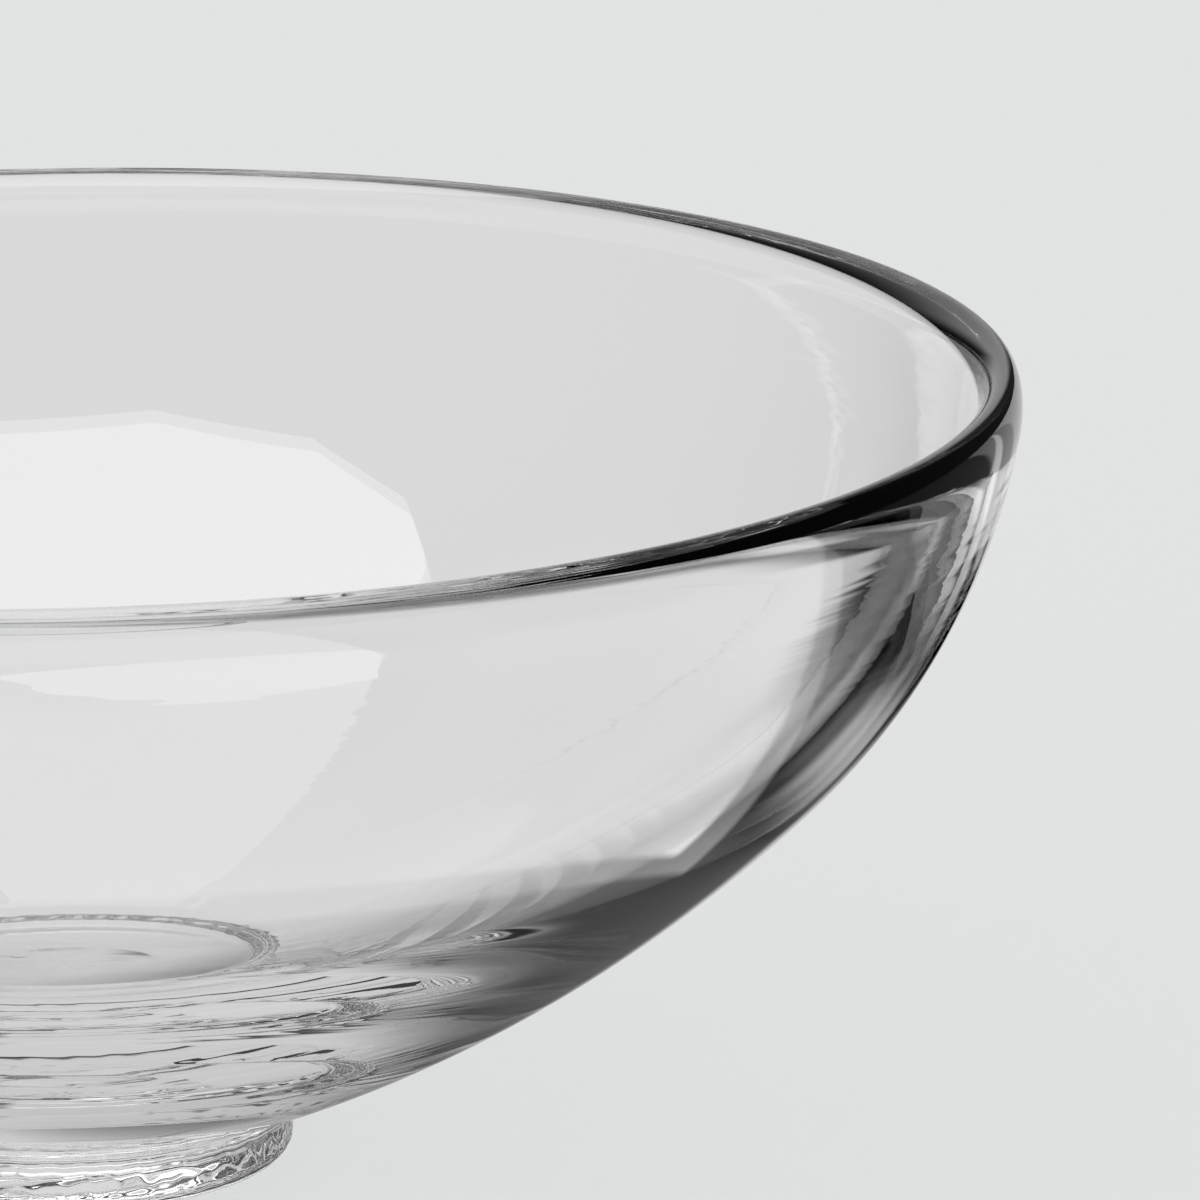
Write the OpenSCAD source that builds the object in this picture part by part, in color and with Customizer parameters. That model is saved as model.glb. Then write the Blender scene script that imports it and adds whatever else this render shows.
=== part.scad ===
// Footed glass bowl: a blown bowl with a rounded lip, standing on a foot
// of glass that was fused to its underside while hot.
// Lengths are in millimetres.  The origin is the middle of the foot's
// underside and +Z points up, so the table is the plane Z = 0.
//
// Both pieces are turned shapes.  A section is drawn in the plane of radius
// and height out of arcs that run smoothly into one another.  The place on
// an arc is told by how steep the glass is there, in degrees from level.

/* [Bowl] */
// Width across the rim, where the rounding of the lip starts
rim_diameter = 248.6; // [200:0.2:300]
// Thickness of the glass at the lip
lip_thickness = 6; // [5:0.1:7]
// Height of the lip's rounding on the outer side
lip_outer_height = 7; // [6:0.1:8]
// Height of the lip's rounding on the inner side
lip_inner_height = 5; // [3:0.1:5.8]
// Thickness of the wall at the shoulder
wall_thickness = 6.2; // [5.4:0.1:7]

/* [Curves] */
// How steep the outside is just under the lip
lip_angle = 79.7; // [76:0.1:84]
// How steep the outside is where the side runs into the flatter underside
shoulder_angle = 44.9; // [40:0.1:50]
// How steep the inside is where the side runs into the rounded floor
floor_angle = 40; // [36:0.5:48]
// Radius of the outer side, as a share of the rim's radius
outer_side_share = 0.668; // [0.64:0.002:0.7]
// Radius of the outer underside, as a share of the rim's radius
outer_base_share = 1.593; // [1.5:0.001:1.7]

/* [Foot] */
// Width of the foot
foot_diameter = 59.5; // [50:0.5:70]
// Height of the foot's rounded edge and straight side together
foot_side_height = 4.8; // [4:0.1:8]
// Radius of the rounded edge round the underside of the foot
foot_edge_radius = 2.4; // [1:0.1:3.6]
// Radius of the hollow curve of the neck, between the underside and the foot
neck_radius = 4; // [3:0.1:6]
// How steep the neck is at the seam between the two pieces
seam_angle = 50; // [40:1:70]
// Width of the polished hollow in the middle of the foot's underside
hollow_diameter = 30; // [16:1:38]
// Depth of that hollow
hollow_depth = 1.2; // [0.6:0.1:2]

/* [Hidden] */
$fn = 180;

// How far the straight steps of an outline may cut inside its true arc.
fineness = 0.012;
right_angle = 90;
half_turn_angle = 180;

rim_radius = rim_diameter / 2;
foot_radius = foot_diameter / 2;
lip_radius = lip_thickness / 2;

// Direction out of the glass where its surface has a given steepness, and
// the direction up along the surface there.
function facing(angle) = [sin(angle), -cos(angle)];
function rising(angle) = [cos(angle), sin(angle)];

// Places are first measured from the level at which the outer side ends and
// the lip starts.  Each curve's centre follows from the curve before it,
// because two curves that run into one another share a line to their centres.
lip_start = [rim_radius, 0];
lip_end = lip_start - lip_thickness * facing(lip_angle);
lip_outer_centre = lip_start - lip_radius * facing(lip_angle);
lip_inner_centre = lip_outer_centre
    + (lip_outer_height - lip_inner_height) * rising(lip_angle);

outer_side_radius = outer_side_share * rim_radius;
outer_base_radius = outer_base_share * rim_radius;
outer_side_centre = lip_start - outer_side_radius * facing(lip_angle);
outer_base_centre = outer_side_centre
    + (outer_side_radius - outer_base_radius) * facing(shoulder_angle);

// The inner side's radius is the one that leaves the wall its thickness at
// the shoulder.  The floor has its centre on the axis.
bend = cos(lip_angle - shoulder_angle);
inner_side_radius = outer_side_radius
    - (wall_thickness - lip_thickness * bend) / (1 - bend);
inner_side_centre = lip_end - inner_side_radius * facing(lip_angle);
floor_radius = inner_side_radius + inner_side_centre[0] / sin(floor_angle);
floor_centre = inner_side_centre
    + (inner_side_radius - floor_radius) * facing(floor_angle);

// The neck has its centre outside the glass, beside the foot.
neck_reach = outer_base_radius + neck_radius;
neck_angle = asin((foot_radius + neck_radius - outer_base_centre[0]) / neck_reach);
neck_centre = outer_base_centre + neck_reach * facing(neck_angle);

// Height above the table, from which the outlines below are drawn.
rim_height = foot_side_height - neck_centre[1];
seam_place = neck_centre - neck_radius * facing(seam_angle);
seam_radius = seam_place[0];
seam_height = rim_height + seam_place[1];

// Points along an arc, without its first one.
function arc(centre, radius, from, to) =
    let (steps = ceil(abs(to - from) / (2 * acos(1 - fineness / abs(radius)))))
    [for (step = [1:steps])
        centre + [0, rim_height] + radius * facing(from + (to - from) * step / steps)];

// Points along a quarter of the lip's oval rounding, without its first one.
function lip_quarter(centre, height, from, to) =
    let (steps = ceil(right_angle / (2 * acos(1 - fineness / height))))
    [for (step = [1:steps])
        let (turn = from + (to - from) * step / steps)
        centre + [0, rim_height] + lip_radius * cos(turn) * facing(lip_angle)
            + height * sin(turn) * rising(lip_angle)];

// The blown bowl: one wall with a lip rounded in the fire.  The lip is an oval
// quarter outside and a flatter one inside, with a short straight below it.
module bowl() {
    outside = concat(
        arc(neck_centre, -neck_radius, seam_angle, neck_angle),
        arc(outer_base_centre, outer_base_radius, neck_angle, shoulder_angle),
        arc(outer_side_centre, outer_side_radius, shoulder_angle, lip_angle));
    lip = concat(
        lip_quarter(lip_outer_centre, lip_outer_height, 0, right_angle),
        lip_quarter(lip_inner_centre, lip_inner_height, right_angle, half_turn_angle),
        [lip_end + [0, rim_height]]);
    inside = concat(
        arc(inner_side_centre, inner_side_radius, lip_angle, floor_angle),
        arc(floor_centre, floor_radius, floor_angle, 0));
    color("lightblue") rotate_extrude()
        polygon(concat([[0, seam_height], [seam_radius, seam_height]], outside, lip, inside));
}

// The foot: a pad of glass with a rounded edge and a polished hollow below.
module foot() {
    hollow_reach = hollow_diameter / 2;
    hollow_radius = (pow(hollow_reach, 2) + pow(hollow_depth, 2)) / (2 * hollow_depth);
    hollow_centre = [0, hollow_depth - hollow_radius - rim_height];
    hollow = arc(hollow_centre, -hollow_radius, 0, -asin(hollow_reach / hollow_radius));
    edge_start = foot_radius - foot_edge_radius;
    edge = arc([edge_start, foot_edge_radius - rim_height], foot_edge_radius, 0, right_angle);
    neck = arc(neck_centre, -neck_radius, right_angle, seam_angle);
    color("powderblue") rotate_extrude()
        polygon(concat([[0, seam_height], [0, hollow_depth]], hollow,
            [[edge_start, 0]], edge, [[foot_radius, foot_side_height]], neck));
}

bowl();
foot();
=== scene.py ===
"""Looks of the footed glass bowl: a clear blown bowl on a fused glass foot,
standing on a pale table in soft studio light, seen as in the photograph.

Both pieces are turned shapes.  A section is drawn in the plane of radius and
height out of arcs that run smoothly into one another.  The place on an arc is
told by how steep the glass is there, in radians from level.
"""

import math

import bpy
import numpy as np
from mathutils import Matrix, Vector


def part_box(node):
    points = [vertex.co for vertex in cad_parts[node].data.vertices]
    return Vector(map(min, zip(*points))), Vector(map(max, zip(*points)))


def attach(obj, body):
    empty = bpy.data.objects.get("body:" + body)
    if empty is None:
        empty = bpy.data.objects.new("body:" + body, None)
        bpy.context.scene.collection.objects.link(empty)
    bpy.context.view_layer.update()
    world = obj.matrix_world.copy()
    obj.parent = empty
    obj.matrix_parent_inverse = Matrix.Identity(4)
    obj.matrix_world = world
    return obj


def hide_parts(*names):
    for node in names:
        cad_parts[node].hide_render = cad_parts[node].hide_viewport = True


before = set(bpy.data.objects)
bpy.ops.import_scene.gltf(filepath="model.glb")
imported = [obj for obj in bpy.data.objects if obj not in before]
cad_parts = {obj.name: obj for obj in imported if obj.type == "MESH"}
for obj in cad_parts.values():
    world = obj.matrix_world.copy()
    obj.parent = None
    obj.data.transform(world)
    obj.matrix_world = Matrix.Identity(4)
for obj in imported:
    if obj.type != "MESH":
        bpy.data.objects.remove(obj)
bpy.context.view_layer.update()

# The bowl: one wall of clear blown glass, its lip melted round in the fire.
# Its turned surface keeps faint level ridges from the tool it was shaped with.
# Nothing holds it but the flat disc at which it is fused to the foot.
bowl_low, bowl_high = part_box("bowl")
foot_low, foot_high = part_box("foot")
table_height = foot_low.z
seam_height = foot_high.z

# The width over the bulge of the lip gives the length of a millimetre here.
WIDTH_IN_MM = 249.12
mm = (bowl_high.x - bowl_low.x) / WIDTH_IN_MM

RIM_RADIUS = 124.29 * mm
LIP_THICKNESS = 6 * mm
LIP_OUTER_HEIGHT = 7 * mm
LIP_INNER_HEIGHT = 5 * mm
WALL_THICKNESS = 6.2 * mm
OUTER_SIDE_RADIUS = 83 * mm
OUTER_BASE_RADIUS = 198 * mm
NECK_RADIUS = 4 * mm
LIP_ANGLE = math.radians(79.7)
SHOULDER_ANGLE = math.radians(44.9)
FLOOR_ANGLE = math.radians(40)
SEAM_ANGLE = math.radians(50)
FOOT_RADIUS = 29.75 * mm
QUARTER_TURN = math.pi / 2
HALF_TURN = math.pi

# How finely the turned pieces are meshed, and the bend that makes a sharp edge.
ARC_STEP = 2 * mm
FOOT_STEP = 0.25 * mm
LIP_STEPS = 16
AROUND = 480
SHARP_BEND = math.radians(30)


def facing(angle):
    """Direction out of the glass where it is this steep: (sin, -cos)."""
    return np.stack([np.sin(angle), -np.cos(angle)], axis=-1)


def rising(angle):
    """Direction up along the glass where it is this steep: (cos, sin)."""
    return np.stack([np.cos(angle), np.sin(angle)], axis=-1)


def arc(centre, radius, start, end, step=ARC_STEP):
    """Places on an arc, without its first: centre + radius * facing(angle)."""
    steps = math.ceil(abs(radius * (end - start)) / step)
    angles = start + (end - start) * np.arange(1, steps + 1) / steps
    return centre + radius * facing(angles)


def lip_quarter(centre, height, start, end):
    """A quarter of the lip's oval, without its first place:
    centre + half the thickness * cos t * facing + height * sin t * rising."""
    turn = (start + (end - start) * np.arange(1, LIP_STEPS + 1) / LIP_STEPS)[:, None]
    return (centre + LIP_THICKNESS / 2 * np.cos(turn) * facing(LIP_ANGLE)
            + height * np.sin(turn) * rising(LIP_ANGLE))


# The wrinkles where the tool chilled the hot glass, round the foot and the neck
# and a little way out along the bowl's underside.
WRINKLE_DEPTH = 0.2 * mm
WRINKLE_FADE = 1.2 * mm
WRINKLE_TOP = 15 * mm
WRINKLE_INNER = 27 * mm
WRINKLE_OUTER = 44 * mm
WRINKLE_SPREAD = 12 * mm
CREASE_TURNS = 19
CREASE_SHARPNESS = 4
CREASE_SHARE = 0.5
CROSSING_TURNS = 23
CROSSING_SHARPNESS = 2
CROSSING_SHARE = 0.2
SWELL_TURNS = 7
SWAY = 1.3
SWAY_TURNS = 4
FINE_SWAY_TURNS = 9
FINE_SWAY_SHARE = 0.5
LEAN = 0.25 / mm


def wrinkles(radius, height, angle):
    """How far the wrinkles cut in: the depth times a mean of creases
    sin(19 a + sway + lean)^4, of crossing creases sin(23 a - sway - lean)^2 and
    of swells 0.5 + 0.5 sin(7 a + sway), faded out towards the flat underside
    and outward along the bowl's underside.  The sway, 1.3 times
    sin(4 a) + 0.5 sin(9 a), makes them uneven, and the lean grows with height."""
    lean = LEAN * height
    sway = SWAY * (np.sin(SWAY_TURNS * angle) + FINE_SWAY_SHARE * np.sin(FINE_SWAY_TURNS * angle))
    crease = np.sin(CREASE_TURNS * angle + sway + lean) ** CREASE_SHARPNESS
    crossing = np.sin(CROSSING_TURNS * angle - sway - lean) ** CROSSING_SHARPNESS
    swell = (1 + np.sin(SWELL_TURNS * angle + sway)) / 2
    fade = np.clip((height - table_height) / WRINKLE_FADE, 0, 1)
    fade = fade * np.clip((WRINKLE_OUTER - radius) / WRINKLE_SPREAD, 0, 1)
    near_foot = (radius > WRINKLE_INNER) & (height < WRINKLE_TOP)
    mean = (CREASE_SHARE * crease + CROSSING_SHARE * crossing
            + (1 - CREASE_SHARE - CROSSING_SHARE) * swell)
    return WRINKLE_DEPTH * near_foot * fade * mean


def turned(name, profile, lift=None):
    """A closed turned piece: each place (radius, height) of the profile goes
    round the axis as (r cos a, r sin a, z), where r is the radius less
    wrinkles(radius, height, a) and z is the height plus lift(radius, height, a).
    The first and last places lie on the axis.  A ring at which the profile
    turns by more than SHARP_BEND is a sharp edge."""
    rings = profile[1:-1]
    angle = np.arange(AROUND) * 2 * np.pi / AROUND
    radius = np.repeat(rings[:, :1], AROUND, axis=1)
    height = np.repeat(rings[:, 1:], AROUND, axis=1)
    lifted = height if lift is None else height + lift(radius, height, angle)
    radius = radius - wrinkles(radius, height, angle)
    grid = np.stack([radius * np.cos(angle), radius * np.sin(angle), lifted], axis=-1)
    poles = np.array([[0, 0, profile[0][1]], [0, 0, profile[-1][1]]])
    places = np.concatenate([grid.reshape(-1, 3), poles])

    here = np.arange(AROUND)
    beside = (here + 1) % AROUND
    row = np.arange(len(rings) - 1)[:, None] * AROUND
    sides = np.stack([row + here, row + beside, row + AROUND + beside, row + AROUND + here], axis=-1)
    last_row = (len(rings) - 1) * AROUND
    first_pole, last_pole = len(places) - 2, len(places) - 1
    first_fan = np.stack([np.full(AROUND, first_pole), beside, here], axis=-1)
    last_fan = np.stack([np.full(AROUND, last_pole), last_row + here, last_row + beside], axis=-1)
    faces = sides.reshape(-1, 4).tolist() + first_fan.tolist() + last_fan.tolist()
    mesh = bpy.data.meshes.new(name)
    mesh.from_pydata(places.tolist(), [], faces)
    mesh.polygons.foreach_set("use_smooth", np.ones(len(mesh.polygons), bool))

    heading = np.arctan2(*np.diff(profile, axis=0).T)
    turn = (np.diff(heading) + np.pi) % (2 * np.pi) - np.pi
    sharp_ring = np.append(np.abs(turn) > SHARP_BEND, [False])
    ends = np.empty(len(mesh.edges) * 2, np.int32)
    mesh.edges.foreach_get("vertices", ends)
    ring_of_end = np.minimum(ends // AROUND, len(rings)).reshape(-1, 2)
    in_one_ring = ring_of_end[:, 0] == ring_of_end[:, 1]
    sharp = mesh.attributes.new("sharp_edge", "BOOLEAN", "EDGE")
    sharp.data.foreach_set("value", in_one_ring & sharp_ring[ring_of_end[:, 0]])
    piece = bpy.data.objects.new(name, mesh)
    bpy.context.scene.collection.objects.link(piece)
    return piece


def add(tree, kind, *sources, **settings):
    """Adds a node, sets its named settings and joins its inputs: each source is
    a socket, a value for the input, or None to leave that input alone."""
    made = tree.nodes.new(kind)
    for key, value in settings.items():
        setattr(made, key, value)
    for socket, source in zip(made.inputs, sources):
        if isinstance(source, bpy.types.NodeSocket):
            tree.links.new(source, socket)
        elif source is not None:
            socket.default_value = source
    return made


def math_node(tree, operation, *sources):
    """The outcome of one arithmetic step or comparison of numbers."""
    return add(tree, "ShaderNodeMath", *sources, operation=operation).outputs[0]


def blend(tree, value, start, end, at_start=0, at_end=1):
    """A level that runs smoothly from at_start to at_end while the value goes
    from start to end, and stays level outside them."""
    made = add(tree, "ShaderNodeMapRange", value, start, end, at_start, at_end,
               interpolation_type="SMOOTHSTEP")
    return made.outputs[0]


def sockets(group, inputs, output):
    """Names a group's number inputs, with their first values, and its output."""
    for name, value in inputs.items():
        made = group.interface.new_socket(name, in_out="INPUT", socket_type="NodeSocketFloat")
        made.default_value = value
    group.interface.new_socket(output, in_out="OUTPUT", socket_type="NodeSocketFloat")


# The level ridges in the turned glass: a noise drawn out along the turning, so it
# changes fast with height and slowly round the bowl.  It is strongest in a band
# under the lip, and Elsewhere is its share of that strength in the other glass.
RIDGE_VALUES = {
    "Fineness": 0.45 / mm, "Drawn out": 0.016 / mm,
    "Band low": 84 * mm, "Band low fade": 10 * mm,
    "Band high": 91 * mm, "Band high fade": 8 * mm, "Elsewhere": 0.02}
NOISE_SCALE = 1
NOISE_DETAIL = 1.5

ridges = bpy.data.node_groups.new("level ridges", "ShaderNodeTree")
sockets(ridges, RIDGE_VALUES, "Height")
given = ridges.nodes.new("NodeGroupInput").outputs
place = add(ridges, "ShaderNodeTexCoord").outputs["Object"]
height = add(ridges, "ShaderNodeSeparateXYZ", place).outputs["Z"]
drawn = add(ridges, "ShaderNodeCombineXYZ", given["Drawn out"], given["Drawn out"], given["Fineness"])
mapped = add(ridges, "ShaderNodeMapping", place, None, None, drawn.outputs[0])
noise = add(ridges, "ShaderNodeTexNoise", mapped.outputs[0])
noise.inputs["Scale"].default_value = NOISE_SCALE
noise.inputs["Detail"].default_value = NOISE_DETAIL
band_start = math_node(ridges, "SUBTRACT", given["Band low"], given["Band low fade"])
band_end = math_node(ridges, "ADD", given["Band high"], given["Band high fade"])
rise = blend(ridges, height, band_start, given["Band low"], given["Elsewhere"], 1)
fall = blend(ridges, height, given["Band high"], band_end, 1, given["Elsewhere"])
in_band = math_node(ridges, "MULTIPLY", rise, fall)
ridge = math_node(ridges, "MULTIPLY", noise.outputs["Fac"], in_band)
ridges.links.new(ridge, ridges.nodes.new("NodeGroupOutput").inputs["Height"])

GLASS_COLOR = (0.985, 0.99, 0.987, 1)
GLASS_IOR = 1.5
RIDGE_DEPTH = 0.028 * mm


def clear_glass(name, ridge_depth, roughness):
    """Clear glass whose surface is bent a little by the level ridges."""
    material = bpy.data.materials.new(name)
    material.use_nodes = True
    tree = material.node_tree
    shader = tree.nodes["Principled BSDF"]
    shader.inputs["Base Color"].default_value = GLASS_COLOR
    shader.inputs["Roughness"].default_value = roughness
    shader.inputs["IOR"].default_value = GLASS_IOR
    shader.inputs["Transmission Weight"].default_value = 1
    group = tree.nodes.new("ShaderNodeGroup")
    group.node_tree = ridges
    bump = tree.nodes.new("ShaderNodeBump")
    bump.inputs["Distance"].default_value = ridge_depth
    tree.links.new(group.outputs["Height"], bump.inputs["Height"])
    tree.links.new(bump.outputs["Normal"], shader.inputs["Normal"])
    return material


def see_through(name):
    """A face inside the fused glass, which light crosses unbent."""
    material = bpy.data.materials.new(name)
    material.use_nodes = True
    material.node_tree.nodes["Principled BSDF"].inputs["Alpha"].default_value = 0
    return material


SEAM_REACH = 0.01 * mm
LEVEL_ENOUGH = 0.99
fused = see_through("fused glass")


def glaze(piece, glass):
    """Gives a piece its glass, and the see-through fused face at the seam: the
    level faces whose middles are at the seam's height."""
    mesh = piece.data
    mesh.materials.append(glass)
    mesh.materials.append(fused)
    middles = np.empty(len(mesh.polygons) * 3)
    normals = np.empty(len(mesh.polygons) * 3)
    mesh.polygons.foreach_get("center", middles)
    mesh.polygons.foreach_get("normal", normals)
    at_seam = np.abs(middles[2::3] - seam_height) < SEAM_REACH
    level = np.abs(normals[2::3]) > LEVEL_ENOUGH
    mesh.polygons.foreach_set("material_index", (at_seam & level).astype(np.int32))


# Each curve's centre follows from the curve before it, because two curves that
# run into one another share a line to their centres.  Heights are first measured
# from the level at which the lip's rounding starts.
lip_start = np.array([RIM_RADIUS, 0])
lip_end = lip_start - LIP_THICKNESS * facing(LIP_ANGLE)
lip_middle = lip_start - LIP_THICKNESS / 2 * facing(LIP_ANGLE)
lip_inner_middle = lip_middle + (LIP_OUTER_HEIGHT - LIP_INNER_HEIGHT) * rising(LIP_ANGLE)
outer_side_centre = lip_start - OUTER_SIDE_RADIUS * facing(LIP_ANGLE)
outer_base_centre = (outer_side_centre
                     + (OUTER_SIDE_RADIUS - OUTER_BASE_RADIUS) * facing(SHOULDER_ANGLE))
bend = math.cos(LIP_ANGLE - SHOULDER_ANGLE)
inner_side_radius = OUTER_SIDE_RADIUS - (WALL_THICKNESS - LIP_THICKNESS * bend) / (1 - bend)
inner_side_centre = lip_end - inner_side_radius * facing(LIP_ANGLE)
floor_radius = inner_side_radius + inner_side_centre[0] / math.sin(FLOOR_ANGLE)
floor_centre = inner_side_centre + (inner_side_radius - floor_radius) * facing(FLOOR_ANGLE)
neck_reach = OUTER_BASE_RADIUS + NECK_RADIUS
neck_angle = math.asin((FOOT_RADIUS + NECK_RADIUS - outer_base_centre[0]) / neck_reach)
neck_centre = outer_base_centre + neck_reach * facing(neck_angle)
seam_place = neck_centre - NECK_RADIUS * facing(SEAM_ANGLE)
to_height = np.array([0, seam_height - seam_place[1]])

bowl_section = np.concatenate([
    [[0, seam_place[1]], seam_place],
    arc(neck_centre, -NECK_RADIUS, SEAM_ANGLE, neck_angle, FOOT_STEP),
    arc(outer_base_centre, OUTER_BASE_RADIUS, neck_angle, SHOULDER_ANGLE),
    arc(outer_side_centre, OUTER_SIDE_RADIUS, SHOULDER_ANGLE, LIP_ANGLE),
    lip_quarter(lip_middle, LIP_OUTER_HEIGHT, 0, QUARTER_TURN),
    lip_quarter(lip_inner_middle, LIP_INNER_HEIGHT, QUARTER_TURN, HALF_TURN),
    [lip_end],
    arc(inner_side_centre, inner_side_radius, LIP_ANGLE, FLOOR_ANGLE),
    arc(floor_centre, floor_radius, FLOOR_ANGLE, 0)]) + to_height
bowl = turned("blown_bowl", bowl_section)
glaze(bowl, clear_glass("bowl glass", RIDGE_DEPTH, 0))
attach(bowl, "root")
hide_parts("bowl")

# The foot: a pad of clear glass pressed on while hot, with a rounded edge and a
# shallow polished hollow below.  Its side is wrinkled where the tool chilled it.
# It is fused to the bowl's underside, so the seam itself can't be seen.
FOOT_SIDE_HEIGHT = 4.8 * mm
FOOT_EDGE_RADIUS = 2.4 * mm
HOLLOW_REACH = 15 * mm
HOLLOW_DEPTH = 1.2 * mm
UNDER_STEP = 0.8 * mm
FLAT_REACH = FOOT_RADIUS - FOOT_EDGE_RADIUS
FOOT_RIDGE_DEPTH = 0.03 * mm
FOOT_ROUGHNESS = 0.03
WAVE_HEIGHT = 0.1 * mm
WAVE_TURNS = 3
WAVES_OUTWARD = 0.5 / mm


def uneven(radius, height, angle):
    """How much the polished underside waves: the wave's height times the square
    of sin(3 a + radius / 2 mm), faded out towards the foot's edge."""
    below = height < FOOT_EDGE_RADIUS
    fade = np.clip((FLAT_REACH - radius) / FLAT_REACH, 0, 1)
    return WAVE_HEIGHT * below * fade * np.sin(WAVE_TURNS * angle + WAVES_OUTWARD * radius) ** 2


def straight(start, end, step):
    """Places on a straight line, without its first, at most one step apart."""
    steps = math.ceil(np.linalg.norm(np.subtract(end, start)) / step)
    share = (np.arange(1, steps + 1) / steps)[:, None]
    return start + share * np.subtract(end, start)


hollow_radius = (HOLLOW_REACH ** 2 + HOLLOW_DEPTH ** 2) / (2 * HOLLOW_DEPTH)
hollow_centre = np.array([0, HOLLOW_DEPTH - hollow_radius])
hollow_angle = -math.asin(HOLLOW_REACH / hollow_radius)
edge_centre = np.array([FLAT_REACH, FOOT_EDGE_RADIUS])
foot_section = np.concatenate([
    [[0, HOLLOW_DEPTH]],
    arc(hollow_centre, -hollow_radius, 0, hollow_angle, UNDER_STEP),
    straight([HOLLOW_REACH, 0], [FLAT_REACH, 0], UNDER_STEP),
    arc(edge_centre, FOOT_EDGE_RADIUS, 0, QUARTER_TURN, FOOT_STEP),
    straight([FOOT_RADIUS, FOOT_EDGE_RADIUS], [FOOT_RADIUS, FOOT_SIDE_HEIGHT], FOOT_STEP),
    arc(neck_centre, -NECK_RADIUS, QUARTER_TURN, SEAM_ANGLE, FOOT_STEP) + to_height,
    [[0, seam_height]]])
foot = turned("foot_pad", foot_section, uneven)
glaze(foot, clear_glass("foot glass", FOOT_RIDGE_DEPTH, FOOT_ROUGHNESS))
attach(foot, "root")
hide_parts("foot")

# The table: a wide pale top under even light, which keeps the bowl's shadow.
# The glass doesn't see this one, but the painted table just below it, which is
# how it gets its dark and light edges from painted shade and painted light.
PALE = (0.76, 0.775, 0.768, 1)
TABLE_SIZE = 40000 * mm
TABLE_OWN_LIGHT = 0.8
UNDER_TABLE = 1 * mm
CARD_GAP = 0.1 * mm


def square(size):
    """The four corners of a level square round the axis."""
    return [(-size / 2, -size / 2), (size / 2, -size / 2), (size / 2, size / 2), (-size / 2, size / 2)]


def staged(name, corners, height, material):
    """A flat level piece of the studio with these corners."""
    mesh = bpy.data.meshes.new(name)
    mesh.from_pydata([(x, y, height) for x, y in corners], [], [range(len(corners))])
    mesh.materials.append(material)
    piece = bpy.data.objects.new(name, mesh)
    bpy.context.scene.collection.objects.link(piece)
    return piece


def table_top(name):
    """Dull and pale, with most of its light its own where the camera sees it."""
    material = bpy.data.materials.new(name)
    material.use_nodes = True
    tree = material.node_tree
    shader = tree.nodes["Principled BSDF"]
    shader.inputs["Base Color"].default_value = PALE
    shader.inputs["Roughness"].default_value = 1
    shader.inputs["Specular IOR Level"].default_value = 0
    seen = add(tree, "ShaderNodeLightPath").outputs["Is Camera Ray"]
    own_share = math_node(tree, "MULTIPLY", seen, TABLE_OWN_LIGHT)
    own_light = add(tree, "ShaderNodeEmission", PALE, 1)
    both = add(tree, "ShaderNodeMixShader", own_share, shader.outputs[0], own_light.outputs[0])
    tree.links.new(both.outputs[0], tree.nodes["Material Output"].inputs["Surface"])
    return material


table = staged("table", square(TABLE_SIZE), 0, table_top("table"))
table.visible_glossy = False
table.visible_transmission = False

# The painted table: what the glass sees of the table, as levels of light painted
# on a glowing surface.  It is pale far off, a little darker round the bowl where
# its shadow is painted, painted dark on the right but for a painted slanting strip
# of light, and painted bright where light falls in front of the bowl.
# A pair is where a change starts and where it ends.
FAR_LEVEL = 0.76
NEAR_LEVEL = 0.7
NEAR_TO_FAR = (150 * mm, 260 * mm)
SIDE_SLANT = -0.15
SIDE = (95 * mm, 135 * mm)
BACK_SLANT = -1.3
BACK = (-12 * mm, 14 * mm)
CORNER_X = (183 * mm, 203 * mm)
CORNER_Y = (188 * mm, 214 * mm)
CORNER_SHARE = 0.65
FOOT_SHADE = 0.2
FOOT_SHADE_SLANT = -0.9
FOOT_SHADE_ACROSS = (-40 * mm, -4 * mm)
LEFT_SHADE = 0.8
LEFT_SHADE_RADIUS = (60 * mm, 82 * mm)
LEFT_SHADE_X = (-32 * mm, -12 * mm)
FRONT_LEVEL = 0.87
FRONT_EDGE = (-8 * mm, -2 * mm)
FRONT_RADIUS = (105 * mm, 109 * mm)
FRONT_FADE = (260 * mm, 420 * mm)
FAR_LEFT = (-650 * mm, -450 * mm)
STRIP_SLANT = -1.24
STRIP_MIDDLE = -103 * mm
STRIP_CORE = 14 * mm
STRIP_REACH = 38 * mm
STRIP_NEAR_LEVEL = 0.6
STRIP_RISE = (115 * mm, 140 * mm)
STRIP_FALL = (150 * mm, 175 * mm)
STRIP_FAR_LEVEL = 0.8
STRIP_AGAIN = (165 * mm, 215 * mm)


def grey(level):
    """A colour of equal red, green and blue."""
    return (level, level, level, 1)


def times(tree, one, other):
    """One value times the other."""
    return math_node(tree, "MULTIPLY", one, other)


def left_over(tree, share):
    """What a share leaves of the whole."""
    return math_node(tree, "SUBTRACT", 1, share)


def slanting(tree, along, across, slant):
    """One coordinate plus a share of the other."""
    return math_node(tree, "MULTIPLY_ADD", across, slant, along)


def emitting(name, level):
    """A plain surface that gives grey light of this level."""
    material = bpy.data.materials.new(name)
    material.use_nodes = True
    tree = material.node_tree
    tree.nodes.remove(tree.nodes["Principled BSDF"])
    light = add(tree, "ShaderNodeEmission", grey(1), level)
    tree.links.new(light.outputs[0], tree.nodes["Material Output"].inputs["Surface"])
    return material


def card(name, corners, height, material):
    """A flat card that the glass alone sees."""
    piece = staged(name, corners, height, material)
    piece.visible_camera = False
    piece.visible_diffuse = False
    piece.visible_shadow = False


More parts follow.
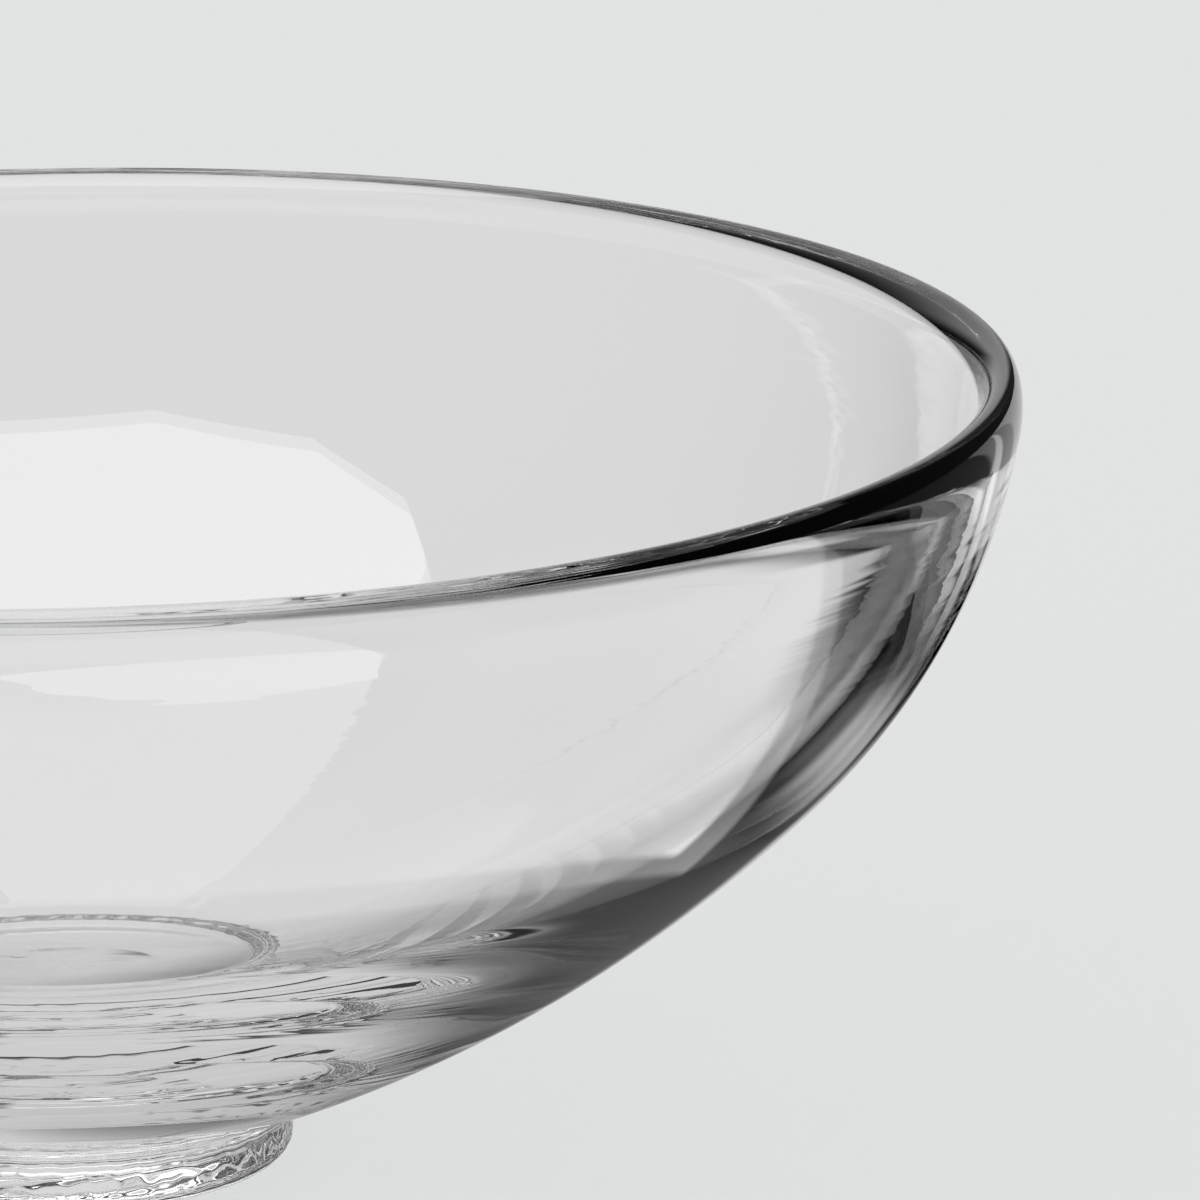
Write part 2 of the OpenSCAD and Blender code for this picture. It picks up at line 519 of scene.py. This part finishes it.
def painted_shade_level(tree, x, y, radius):
    """The painted table's level before the strip: far or near, less the painted
    dark side and the painted shadow by the foot, then the painted bright front
    over it, then the painted dark far left."""
    level = blend(tree, radius, *NEAR_TO_FAR, NEAR_LEVEL, FAR_LEVEL)
    # Painted shade on the right side, lighter towards its back right corner.
    side = blend(tree, slanting(tree, x, y, SIDE_SLANT), *SIDE)
    back = blend(tree, slanting(tree, y, x, BACK_SLANT), *BACK, 1, 0)
    corner = times(tree, blend(tree, x, *CORNER_X), blend(tree, y, *CORNER_Y, 0, CORNER_SHARE))
    painted_side_shade = times(tree, side, times(tree, back, left_over(tree, corner)))
    level = times(tree, level, left_over(tree, painted_side_shade))
    # Painted shadow of the bowl by the foot, on its front right.
    across = slanting(tree, y, x, FOOT_SHADE_SLANT)
    level = times(tree, level, blend(tree, across, *FOOT_SHADE_ACROSS, FOOT_SHADE, 1))
    # Painted shadow of the bowl close round the foot on its left.
    left_shade = times(tree, blend(tree, radius, *LEFT_SHADE_RADIUS, LEFT_SHADE, 0),
                       blend(tree, x, *LEFT_SHADE_X, 1, 0))
    level = times(tree, level, left_over(tree, left_shade))
    # Painted light in front of the bowl, fading to the far level farther out.
    front = times(tree, blend(tree, y, *FRONT_EDGE, 1, 0), blend(tree, radius, *FRONT_RADIUS))
    front_level = blend(tree, radius, *FRONT_FADE, FRONT_LEVEL, FAR_LEVEL)
    behind_front = times(tree, level, left_over(tree, front))
    level = math_node(tree, "MULTIPLY_ADD", front, front_level, behind_front)
    return times(tree, level, blend(tree, x, *FAR_LEFT))


def painted_strip_light(tree, x, y):
    """The painted strip of light's level: full along its slanting core and none past
    its reach, with one light stretch near the bowl and another farther to the right."""
    across = slanting(tree, y, x, STRIP_SLANT)
    core = times(tree, blend(tree, across, STRIP_MIDDLE - STRIP_REACH, STRIP_MIDDLE - STRIP_CORE),
                 blend(tree, across, STRIP_MIDDLE + STRIP_CORE, STRIP_MIDDLE + STRIP_REACH, 1, 0))
    near = times(tree, blend(tree, x, *STRIP_RISE, 0, STRIP_NEAR_LEVEL),
                 blend(tree, x, *STRIP_FALL, 1, 0))
    far = blend(tree, x, *STRIP_AGAIN, 0, STRIP_FAR_LEVEL)
    side = blend(tree, slanting(tree, x, y, SIDE_SLANT), *SIDE)
    return times(tree, times(tree, core, math_node(tree, "ADD", near, far)), side)


def painted_light_table(name):
    """A glowing surface that gives the painted light and shade of the table, strip and all."""
    material = emitting(name, 1)
    tree = material.node_tree
    place = add(tree, "ShaderNodeTexCoord").outputs["Object"]
    split = add(tree, "ShaderNodeSeparateXYZ", place)
    x, y = split.outputs["X"], split.outputs["Y"]
    radius = add(tree, "ShaderNodeVectorMath", place, operation="LENGTH").outputs["Value"]
    level = math_node(tree, "ADD", painted_shade_level(tree, x, y, radius), painted_strip_light(tree, x, y))
    tree.links.new(level, tree.nodes["Emission"].inputs["Strength"])
    return material


# A glowing card just under the table, with painted shadow and painted light, that only the glass sees.
card("painted_light_table", square(TABLE_SIZE), -UNDER_TABLE, painted_light_table("painted_light_table"))

# A dim three-sided patch of painted light, glowing by itself, on the painted
# table's dark side, corners in mm.
PAINTED_GREY_PATCH_LEVEL = 0.12
PAINTED_GREY_PATCH = [(165, 92), (300, 92), (300, 259)]
card("painted_grey_patch", [(x * mm, y * mm) for x, y in PAINTED_GREY_PATCH], CARD_GAP - UNDER_TABLE,
     emitting("painted_grey_patch", PAINTED_GREY_PATCH_LEVEL))

# The lamp: an eight-sided soft light overhead, most of it on the left, corners in
# mm.  It is dimmer for light that the glass has already turned several times,
# which keeps the thick lip dark.
LAMP_HEIGHT = 1000 * mm
LAMP = [(300, -640), (-240, -700), (-560, -450), (-620, -100),
        (-500, 250), (-370, 460), (0, 300), (350, 150)]
LAMP_LEVEL = 1.9
DEEP_LEVEL = 0.7
DEEP = (5, 9)
lamp_look = emitting("lamp", LAMP_LEVEL)
tree = lamp_look.node_tree
turns_taken = add(tree, "ShaderNodeLightPath").outputs["Ray Depth"]
lamp_level = blend(tree, turns_taken, *DEEP, LAMP_LEVEL, DEEP_LEVEL)
tree.links.new(lamp_level, tree.nodes["Emission"].inputs["Strength"])
card("lamp", [(x * mm, y * mm) for x, y in LAMP], LAMP_HEIGHT, lamp_look)

# The room as the glass sees it, by the three parts of a direction of length 1:
# dark, with a pale backdrop behind the bowl that reaches up overhead, but is cut
# off low on the left.  The table is lit by an even white one, and the camera sees
# a plain pale one.
ROOM = 0.03
BACKDROP = 0.72
BACKDROP_FROM = (0.1, 0.3)
BACKDROP_TOP = (0.94, 0.98)
BACKDROP_LEFT = (-0.85, -0.4)
BACKDROP_RIGHT = (0.12, 0.3)
LOW_EDGE = (0.05, 0.2)
LOW_LEFT = (-0.3, -0.1)
ONCE_SCATTERED = 0.5
world = bpy.data.worlds.new("studio")
world.use_nodes = True
bpy.context.scene.world = world
tree = world.node_tree
path = add(tree, "ShaderNodeLightPath")
direction = add(tree, "ShaderNodeTexCoord").outputs["Generated"]
side, ahead, above = add(tree, "ShaderNodeSeparateXYZ", direction).outputs
behind = times(tree, blend(tree, ahead, *BACKDROP_FROM), blend(tree, above, *BACKDROP_TOP, 1, 0))
between = times(tree, blend(tree, side, *BACKDROP_LEFT), blend(tree, side, *BACKDROP_RIGHT, 1, 0))
not_low_left = math_node(tree, "MAXIMUM", blend(tree, above, *LOW_EDGE), blend(tree, side, *LOW_LEFT))
backdrop = times(tree, behind, times(tree, between, not_low_left))
room = add(tree, "ShaderNodeMixRGB", backdrop, grey(ROOM), grey(BACKDROP)).outputs[0]
lights_table = math_node(tree, "GREATER_THAN", path.outputs["Diffuse Depth"], ONCE_SCATTERED)
lit = add(tree, "ShaderNodeMixRGB", lights_table, room, grey(1)).outputs[0]
seen = add(tree, "ShaderNodeMixRGB", path.outputs["Is Camera Ray"], lit, PALE)
tree.links.new(seen.outputs[0], tree.nodes["Background"].inputs["Color"])

# The camera, where the photo was taken from: a long lens a little above the rim,
# rolled slightly.  The rim's centre lies at this pixel of the square picture, and
# the rim's radius is this many pixels.
PICTURE = 1200
RIM_CENTRE_PIXEL = (50, 390.9)
RIM_RADIUS_PIXELS = 973.8
SEEN_RADIUS = 125 * mm
SEEN_HEIGHT = 101.57 * mm
DISTANCE = 1250 * mm
ELEVATION = math.radians(13.34)
ROLL = math.radians(1.22)
SENSOR = 36
NEAREST = 10 * mm
FARTHEST = 100000 * mm
lens = bpy.data.cameras.new("camera")
lens.sensor_width = SENSOR
lens.lens = SENSOR * RIM_RADIUS_PIXELS * DISTANCE / SEEN_RADIUS / PICTURE
lens.clip_start = NEAREST
lens.clip_end = FARTHEST
camera = bpy.data.objects.new("camera", lens)
bpy.context.scene.collection.objects.link(camera)
bpy.context.scene.camera = camera

rim_middle = Vector((0, 0, SEEN_HEIGHT))
stand = rim_middle + DISTANCE * Vector((0, -math.cos(ELEVATION), math.sin(ELEVATION)))
level_right = Vector((1, 0, 0))
level_up = level_right.cross((rim_middle - stand).normalized())
right = math.cos(ROLL) * level_right - math.sin(ROLL) * level_up
up = math.cos(ROLL) * level_up + math.sin(ROLL) * level_right
pixel = SEEN_RADIUS / RIM_RADIUS_PIXELS
aim = (rim_middle + right * pixel * (PICTURE / 2 - RIM_CENTRE_PIXEL[0])
       + up * pixel * (RIM_CENTRE_PIXEL[1] - PICTURE / 2))
sight = (aim - stand).normalized()
right = (right - right.dot(sight) * sight).normalized()
up = right.cross(sight)
camera.matrix_world = Matrix((
    (right.x, up.x, -sight.x, stand.x),
    (right.y, up.y, -sight.y, stand.y),
    (right.z, up.z, -sight.z, stand.z),
    (0, 0, 0, 1)))

# Light in the thick base takes about this many turns before it leaves the glass.
BOUNCES = 24
scene = bpy.context.scene
scene.view_settings.view_transform = "Standard"
scene.cycles.max_bounces = BOUNCES
scene.cycles.transmission_bounces = BOUNCES
scene.cycles.glossy_bounces = BOUNCES
